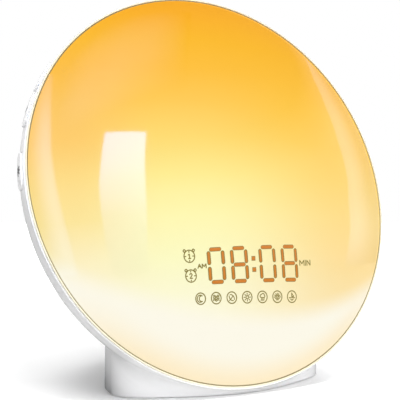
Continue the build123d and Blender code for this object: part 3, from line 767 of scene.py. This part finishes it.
class ALARM_CLOCK_OT_housing(bpy.types.Operator):
    """Finish the housing and its underside"""

    bl_idname = "alarm_clock.housing"
    bl_label = "Housing"

    def execute(self, context):
        settings = context.scene.alarm_clock_housing
        finish_nodes(abs_gloss("abs_housing_gloss", settings.shell, 0.22, 9 * MM), "rear_housing")
        finish_nodes(abs_satin("abs_underside_satin", settings.underside), "base_plate", "battery_cap")
        finish_nodes(rubber_pads(settings.feet), "rubber_feet")
        return {"FINISHED"}


# ---- Keys --------------------------------------------------------------------------

KEY_RADIUS = 88.1 * MM  # the keys' faces, from the dome's axis
KEY_STRAIGHT = 4.4 * MM  # depth at which the side wall starts to curve in
KEY_CURVE = 19.8 * MM  # radius of that curve
KEY_DEPTH = 5.2 * MM  # of the keys' middles, behind the face
KEY_PRINT = 0.02 * MM  # the ink stands out and reaches in by this much

# Printed marks: a lamp, a plus and a minus, as paths and line widths in millimetres
KEY_MARKS = {
    "low": [(line((-0.02, 0), (0.02, 0), 3), 2.5)] + [
        (ray, 0.7) for ray in rays(np.arange(8) * pi / 4, 1.55, 1.95)
    ],
    "middle": [(line((-1.6, 0), (1.6, 0)), 0.7), (line((0, -1.6), (0, 1.6)), 0.7)],
    "top": [(line((-1.6, 0), (1.6, 0)), 0.7)],
}


def on_key(angle):
    """Function that puts flat points (along the rim, towards the front) on a key's face.

    The face is a circle of the key's radius round the dome's axis down to the straight wall's end,
    and behind that it follows the wall's curve.
    """
    def place(flat, height):
        turn = radians(angle) + flat[:, 0] / KEY_RADIUS
        depth = KEY_DEPTH - flat[:, 1]
        past = np.clip(depth - KEY_STRAIGHT, 0, None)
        reach = KEY_RADIUS - KEY_CURVE + np.sqrt(KEY_CURVE**2 - past**2) + height
        return from_face(np.column_stack([reach * np.cos(turn), reach * np.sin(turn), -depth]))
    return place


def pad_print(colour):
    """Pad-printed ink, satin, a few hundredths of a millimetre thick."""
    material, tree, shader = new_finish("pad_print_ink", Roughness=0.4, IOR=1.5)
    add_mottle(tree, shader, colour, 0.4 * MM, 0.12)
    return material


class ALARM_CLOCK_OT_keys(bpy.types.Operator):
    """Finish the side keys and print their marks"""

    bl_idname = "alarm_clock.keys"
    bl_label = "Keys"

    def execute(self, context):
        settings = context.scene.alarm_clock_housing
        plastic = abs_gloss("abs_keys_gloss", settings.keys, 0.25, 4 * MM)
        ink = pad_print(settings.print)
        for side in ("left", "right"):
            for name, angle in KEY_ANGLES.items():
                node = f"{side}_key_{name}"
                finish_nodes(plastic, node)
                place = on_key(angle if side == "left" else 180 - angle)
                strokes = [stroke(np.asarray(path) * MM, width * MM) for path, width in KEY_MARKS[name]]
                points, faces = plate_from_strokes(strokes, place, KEY_PRINT, KEY_PRINT)
                piece = new_piece(f"{node}_print", points, faces, ink, node)
        return {"FINISHED"}


# ---- Inside and fasteners ----------------------------------------------------------


def circuit_board(name, colour):
    """Glass-epoxy board under solder mask: a satin skin over a faint weave."""
    material, tree, shader = new_finish(name, Roughness=0.35, IOR=1.52)
    add_mottle(tree, shader, colour, 3 * MM, 0.12)
    add_grain(tree, shader, 0.4 * MM, 0.01 * MM)
    return material


def moulded_part(name, colour, roughness, grain=0.2 * MM):
    """A small moulded part: one colour with a fine grain."""
    material, tree, shader = new_finish(name, Roughness=roughness, IOR=1.5)
    add_mottle(tree, shader, colour, 2 * MM, 0.06)
    add_grain(tree, shader, grain, 0.005 * MM)
    return material


def plated_metal(name, colour, roughness):
    """Plated or bare metal, with the faint unevenness of the plating."""
    material, tree, shader = new_finish(name, Roughness=roughness, Metallic=1.0)
    add_mottle(tree, shader, colour, 1.5 * MM, 0.06)
    add_grain(tree, shader, 0.3 * MM, 0.003 * MM)
    return material


INNER_FINISHES = (
    (moulded_part, ("reflector_plastic_white", "#F4F3EE", 0.4), ("reflector_tray",)),
    (circuit_board, ("solder_mask_white", "#EDEDE8"), ("light_board",)),
    (moulded_part, ("led_silicone_yellow", "#F4CE62", 0.3), ("light_chips",)),
    (moulded_part, ("light_guide_amber", "#D98A36", 0.15), ("display_guides",)),
    (moulded_part, ("display_film_cream", "#EBD9A6", 0.4), ("display_film",)),
    (circuit_board, ("solder_mask_green", "#1F6B43"), ("display_board", "main_board")),
    (moulded_part, ("epoxy_black", "#1C1C1F", 0.45),
     ("display_light_box", "display_chips", "main_board_chips", "supply_jack")),
    (moulded_part, ("nylon_natural", "#E6E4D8", 0.45), ("display_posts",)),
    (plated_metal, ("aluminium_sleeve", "#B9BABF", 0.35), ("capacitors",)),
    (plated_metal, ("steel_tinned", "#BFC0C4", 0.3), ("radio_module",)),
    (plated_metal, ("steel_nickel_bright", "#C9CACD", 0.2), ("coin_cell", "supply_jack_pin")),
    (plated_metal, ("bronze_spring", "#C8B27A", 0.3), ("cell_contacts",)),
    (plated_metal, ("steel_zinc_plated", "#B8B9BC", 0.35),
     ("tray_screws", "base_screws", "board_screws", "speaker_screws")),
    (moulded_part, ("ferrite_black", "#2B2B2D", 0.6), ("speaker_magnet",)),
    (moulded_part, ("steel_painted_black", "#26262A", 0.4), ("speaker_frame",)),
    (moulded_part, ("paper_cone_black", "#2A2826", 0.8, 0.5 * MM), ("speaker_cone",)),
    (moulded_part, ("rubber_roll_black", "#1B1B1B", 0.6), ("speaker_surround",)),
    (moulded_part, ("switch_nylon_black", "#202023", 0.5),
     ("reset_switch", "left_key_switches", "right_key_switches")),
    (moulded_part, ("polyimide_film", "#B87528", 0.3),
     ("left_key_flex", "right_key_flex", "display_ribbon")),
    (moulded_part, ("pvc_lead_red", "#B5281F", 0.4), ("light_leads", "speaker_leads", "key_leads")),
    (moulded_part, ("abs_reset_button", "#D9D9D9", 0.35), ("reset_button",)),
)


class ALARM_CLOCK_OT_insides(bpy.types.Operator):
    """Finish the boards, the speaker, the jack and the fasteners"""

    bl_idname = "alarm_clock.insides"
    bl_label = "Insides"

    def execute(self, context):
        for make, (name, code, *rest), nodes in INNER_FINISHES:
            finish_nodes(make(name, linear(code), *rest), *nodes)
        return {"FINISHED"}


# ---- Stage -------------------------------------------------------------------------

CAMERA_PLACE = Vector((-164.5, -290.0, 73.75)) * MM
CAMERA_TURN = 28.79  # degrees to the right of straight back
CAMERA_RISE = 0.91  # degrees above level
CAMERA_ROLL = radians(0.46)

CARD_DISTANCE = 1.2  # from the middle of the face to each reflecting card, in metres
# Each card has its turn from the front towards +X and its rise from level, in degrees, and its colour,
# then rows of height, edges and brightness, then columns from the first edge to the second: share of
# the way across, and share of the brightness there. Heights and edges are in metres.
CARDS = {
    "window_card": (
        -11.0, 0.0, "#70ADFF",
        ((1.18, -0.21, 0.168, 16.5), (0.95, -0.237, 0.128, 15.0), (0.78, -0.25, 0.105, 13.4),
         (0.62, -0.262, 0.093, 10.6), (0.49, -0.255, 0.088, 8.4), (0.36, -0.243, 0.085, 5.5),
         (0.24, -0.225, 0.08, 3.6), (0.1, -0.2, 0.08, 1.8), (-0.08, -0.16, 0.08, 0.0)),
        ((0.0, 1.0), (1.0, 1.0)),
    ),
    "left_card": (
        -45.0, 0.0, "#95BCFF",
        ((2.35, -0.165, -0.615, 1.8), (1.62, -0.052, -0.5, 3.2), (1.2, 0.018, -0.43, 5.2),
         (0.88, 0.068, -0.38, 6.4), (0.6, 0.132, -0.315, 6.3), (0.43, 0.18, -0.27, 6.0),
         (0.297, 0.22, -0.23, 5.4), (0.157, 0.265, -0.185, 4.7), (-0.115, 0.344, -0.1, 2.4)),
        ((0.0, 0.7), (0.06, 1.0), (0.14, 1.0), (0.22, 0.75), (0.28, 0.5), (0.34, 0.25), (0.42, 0.1),
         (1.0, 0.05)),
    ),
    "right_card": (
        80.0, 0.0, "#BCDAFF",
        ((1.004, 0.92, 1.92, 1.0), (0.873, 0.53, 1.53, 1.1), (0.71, 0.32, 1.32, 1.5),
         (0.523, 0.165, 1.165, 2.05), (0.339, 0.065, 1.065, 2.3), (0.236, -0.018, 0.982, 2.4),
         (0.1, -0.07, 0.93, 2.6), (0.03, -0.11, 0.89, 2.4), (-0.03, -0.145, 0.855, 1.7),
         (-0.085, -0.17, 0.83, 1.0)),
        ((0.0, 1.0), (0.1, 0.95), (0.16, 0.8), (0.23, 0.6), (0.3, 0.42), (0.38, 0.3), (1.0, 0.25)),
    ),
    "veil_card": (
        20.0, 60.0, "#95BCFF",
        ((0.66, 0.6, -0.13, 0.2), (0.6, 0.55, -0.27, 0.5), (0.5, 0.46, -0.5, 1.1), (0.44, 0.42, -0.6, 1.4),
         (0.376, 0.37, -0.67, 1.6), (0.27, 0.28, -0.77, 1.8), (0.17, 0.21, -0.93, 1.5),
         (0.07, 0.15, -1.03, 1.0), (-0.05, 0.054, -1.1, 0.0)),
        ((0.0, 0.0), (0.12, 0.35), (0.28, 0.8), (0.5, 1.0), (0.75, 0.75), (1.0, 0.0)),
    ),
}
CARD_ROWS = 33  # rows of points in each card's grid


def bearing(turn, rise):
    """Direction that is turned from the front towards +X and raised from level, in degrees."""
    turn, rise = radians(turn), radians(rise)
    return np.array([sin(turn) * cos(rise), -cos(turn) * cos(rise), sin(rise)])


def look(direction, roll=0.0):
    """Rotation of a camera or lamp that looks along a direction, its right side level before a roll."""
    ahead = Vector(direction).normalized()
    right = ahead.cross(Vector((0, 0, 1))).normalized()
    up = right.cross(ahead)
    turned_right = right * cos(roll) + up * sin(roll)
    turned_up = up * cos(roll) - right * sin(roll)
    return Matrix((turned_right, turned_up, -ahead)).transposed().to_4x4()


def place_camera(settings):
    """The camera, at the height of the clock's lower half and to its left."""
    camera = bpy.data.cameras.new("view_camera")
    camera.lens = settings.lens
    camera.sensor_width = 36.0
    camera.clip_start = 0.01
    view = new_object("view_camera", camera)
    ahead = bearing(180 - CAMERA_TURN, CAMERA_RISE)
    view.matrix_world = Matrix.Translation(CAMERA_PLACE) @ look(ahead, CAMERA_ROLL)
    bpy.context.scene.camera = view


def soft_lamp(name, strength, towards, spread):
    """A broad distant lamp. strength is how bright a white surface that faces it becomes."""
    lamp = bpy.data.lights.new(name, "SUN")
    lamp.energy = strength * pi
    lamp.angle = radians(spread)
    light = new_object(name, lamp)
    light.matrix_world = look(towards)
    light.visible_glossy = False


# The backdrop's brightness by how high it is looked at, as the sine of the angle above level
BACKDROP = ((0.42, 1.0), (0.62, 0.12))


def backdrop_light(settings):
    """World light: white near the horizon, dim overhead, and an even level for matt surfaces."""
    world = bpy.data.worlds.new("studio")
    bpy.context.scene.world = world
    world.use_nodes = True
    tree = world.node_tree
    coords = add_node(tree, "TexCoord")
    direction = add_node(tree, "SeparateXYZ", {"Vector": coords.outputs["Generated"]})
    wall = add_node(tree, "ValToRGB", {"Fac": direction.outputs["Z"]})
    set_ramp(wall, [(height, grey(level)) for height, level in BACKDROP])
    path = add_node(tree, "LightPath").outputs
    seen = path["Is Camera Ray"]
    for ray in ("Is Glossy Ray", "Is Transmission Ray"):
        seen = add_node(tree, "Math", {0: seen, 1: path[ray]}, operation="MAXIMUM")
    level = grey(settings.ambient)
    mix = add_node(tree, "Mix", {0: seen, MIX_A: level, MIX_B: wall}, data_type="RGBA")
    tree.links.new(mix.outputs[MIX_RESULT], tree.nodes["Background"].inputs["Color"])


# The row of lamps above: degrees to the right of upright, how far to the front they stand for each
# unit up, and their share of the row's light
LAMP_ROW = (
    (-27, 0.3, 0.14), (-22, 0.3, 0.2), (-17, 0.3, 0.22), (-12, 0.33, 0.2),
    (-7, 0.4, 0.12), (-2, 0.45, 0.07), (3, 0.45, 0.05),
)
LAMP_SPREAD = 5.0  # how wide each of them looks, in degrees
# Broad lamps: degrees from the front towards +X, degrees above level, and how wide each looks
SIDE_LAMPS = {"left": (-20.0, 1.0, 30.0), "right": (24.0, 1.0, 30.0), "back": (152.0, 4.0, 40.0)}

FLOOR_REACH = 4.0  # from the clock to each side of the floor
# Light that the camera sees the floor give, so that it meets the white backdrop: everywhere, and more
# to the right, with the range of x in metres where that sets in. The extra on the right is painted light
# that clears the clock's shadow there.
FLOOR_LIFT = 0.25
FLOOR_RIGHT_PAINTED_LIGHT = 0.75
FLOOR_RIGHT_PAINTED_FROM = (0.03, 0.08)
FLOOR_COLOUR = 0.8  # share of the light that the paper scatters back


def floor_finish():
    """Matt white paper. The camera sees it lifted to the backdrop's white, with its shadows kept on the
    left; on the right, painted light clears the clock's shadow.
    """
    material, tree, shader = new_finish("paper_white", Roughness=0.9)
    shader.inputs["Base Color"].default_value = grey(FLOOR_COLOUR)
    shader.inputs["Specular IOR Level"].default_value = 0.0
    coords = add_node(tree, "TexCoord")
    place = add_node(tree, "SeparateXYZ", {"Vector": coords.outputs["Object"]})
    # to the right, painted light clears the clock's shadow from the floor
    right = smooth_step(tree, place.outputs["X"], FLOOR_RIGHT_PAINTED_FROM)
    lift = add_node(tree, "Math", {0: right, 1: FLOOR_RIGHT_PAINTED_LIGHT, 2: FLOOR_LIFT}, operation="MULTIPLY_ADD")
    camera = add_node(tree, "LightPath").outputs["Is Camera Ray"]
    shown = add_node(tree, "Math", {0: camera, 1: lift}, operation="MULTIPLY")
    shader.inputs["Emission Color"].default_value = grey(1.0)
    tree.links.new(shown.outputs["Value"], shader.inputs["Emission Strength"])
    return material


def floor():
    """A flat square floor under the clock."""
    corners = [(x * FLOOR_REACH, y * FLOOR_REACH, 0.0) for x, y in ((-1, -1), (1, -1), (1, 1), (-1, 1))]
    mesh = bpy.data.meshes.new("floor")
    mesh.from_pydata(corners, [], [(0, 1, 2, 3)])
    mesh.materials.append(floor_finish())
    new_object("floor", mesh)


def card_finish(name, colour):
    """A lit card, as bright as its mesh's own light attribute says."""
    material = bpy.data.materials.new(name)
    material.use_nodes = True
    tree = material.node_tree
    tree.nodes.clear()
    level = add_node(tree, "Attribute", attribute_name="light")
    light = add_node(tree, "Emission", {"Color": colour, "Strength": level.outputs["Fac"]})
    add_node(tree, "OutputMaterial", {"Surface": light.outputs["Emission"]})
    return material


def reflecting_card(name, turn, rise, rows, columns, material):
    """A card that only mirror reflections see: a grid between its two edges, with its light on its points.

    Each point is the card's middle, plus its right times a place across, plus its up times a height.
    The edges and the brightness run in straight lines from one row to the next.
    """
    right, upward = bearing(turn + 90, 0.0), bearing(turn, rise + 90)
    rows = np.array(rows)[::-1]
    share, fade = np.array(columns).T
    heights = np.linspace(rows[0, 0], rows[-1, 0], CARD_ROWS)
    first, second, power = (np.interp(heights, rows[:, 0], rows[:, column]) for column in (1, 2, 3))
    across = first[:, None] + (second - first)[:, None] * share
    middle = np.array(FACE_MIDDLE) + bearing(turn, rise) * CARD_DISTANCE
    points = middle + across[..., None] * right + heights[:, None, None] * upward
    corner = np.arange(CARD_ROWS - 1)[:, None] * len(share) + np.arange(len(share) - 1)
    faces = np.stack([corner, corner + 1, corner + len(share) + 1, corner + len(share)], axis=-1)
    mesh = bpy.data.meshes.new(name)
    mesh.from_pydata(points.reshape(-1, 3).tolist(), [], faces.reshape(-1, 4).tolist())
    level = mesh.attributes.new("light", "FLOAT", "POINT")
    level.data.foreach_set("value", (power[:, None] * fade).ravel())
    mesh.materials.append(material)
    card = new_object(name, mesh)
    card.visible_camera = False
    card.visible_diffuse = False
    card.visible_shadow = False
    card.visible_transmission = False


class ALARM_CLOCK_OT_stage(bpy.types.Operator):
    """Set up the floor, backdrop, lamps, reflecting cards and camera"""

    bl_idname = "alarm_clock.stage"
    bl_label = "Stage"

    def execute(self, context):
        settings = context.scene.alarm_clock_stage
        place_camera(settings)
        backdrop_light(settings)
        for place, (tilt, slope, share) in enumerate(LAMP_ROW):
            towards = (-sin(radians(tilt)), slope, -cos(radians(tilt)))
            soft_lamp(f"overhead_lamp_{place + 1}", settings.overhead * share, towards, LAMP_SPREAD)
        for side, (turn, rise, spread) in SIDE_LAMPS.items():
            soft_lamp(f"{side}_lamp", getattr(settings, side), -bearing(turn, rise), spread)
        floor()
        for name, (turn, rise, code, rows, columns) in CARDS.items():
            material = card_finish(f"{name}_light", linear(code))
            reflecting_card(name, turn, rise, rows, columns, material)
        return {"FINISHED"}


# ---- Panel and registration --------------------------------------------------------


class ALARM_CLOCK_PT_panel(bpy.types.Panel):
    """Buttons and settings for the clock"""

    bl_idname = "ALARM_CLOCK_PT_panel"
    bl_label = "Sunrise Alarm Clock"
    bl_space_type = "VIEW_3D"
    bl_region_type = "UI"
    bl_category = "Alarm Clock"

    def draw(self, context):
        for operator in OPERATORS:
            self.layout.operator(operator.bl_idname)
        for name in SETTINGS:
            group = getattr(context.scene, name)
            box = self.layout.box()
            for field in group.bl_rna.properties:
                if field.identifier not in ("name", "rna_type"):
                    box.prop(group, field.identifier)


SETTINGS = {
    "alarm_clock_dome": DomeSettings,
    "alarm_clock_display": DisplaySettings,
    "alarm_clock_housing": HousingSettings,
    "alarm_clock_stage": StageSettings,
}
OPERATORS = (
    ALARM_CLOCK_OT_stage,
    ALARM_CLOCK_OT_dome,
    ALARM_CLOCK_OT_display,
    ALARM_CLOCK_OT_housing,
    ALARM_CLOCK_OT_keys,
    ALARM_CLOCK_OT_insides,
)


def register():
    """Register the classes and give the scene its settings."""
    for group in (*SETTINGS.values(), *OPERATORS, ALARM_CLOCK_PT_panel):
        bpy.utils.register_class(group)
    for name, group in SETTINGS.items():
        setattr(bpy.types.Scene, name, PointerProperty(type=group))


def unregister():
    """Take the settings and the classes away again."""
    for name in SETTINGS:
        delattr(bpy.types.Scene, name)
    for group in (ALARM_CLOCK_PT_panel, *OPERATORS[::-1], *SETTINGS.values()):
        bpy.utils.unregister_class(group)


def main():
    """Build the stage and finish every piece."""
    register()
    bpy.context.scene.view_settings.view_transform = "Standard"
    bpy.ops.alarm_clock.stage()
    bpy.ops.alarm_clock.dome()
    bpy.ops.alarm_clock.display()
    bpy.ops.alarm_clock.housing()
    bpy.ops.alarm_clock.keys()
    bpy.ops.alarm_clock.insides()


if __name__ == "__main__":
    main()
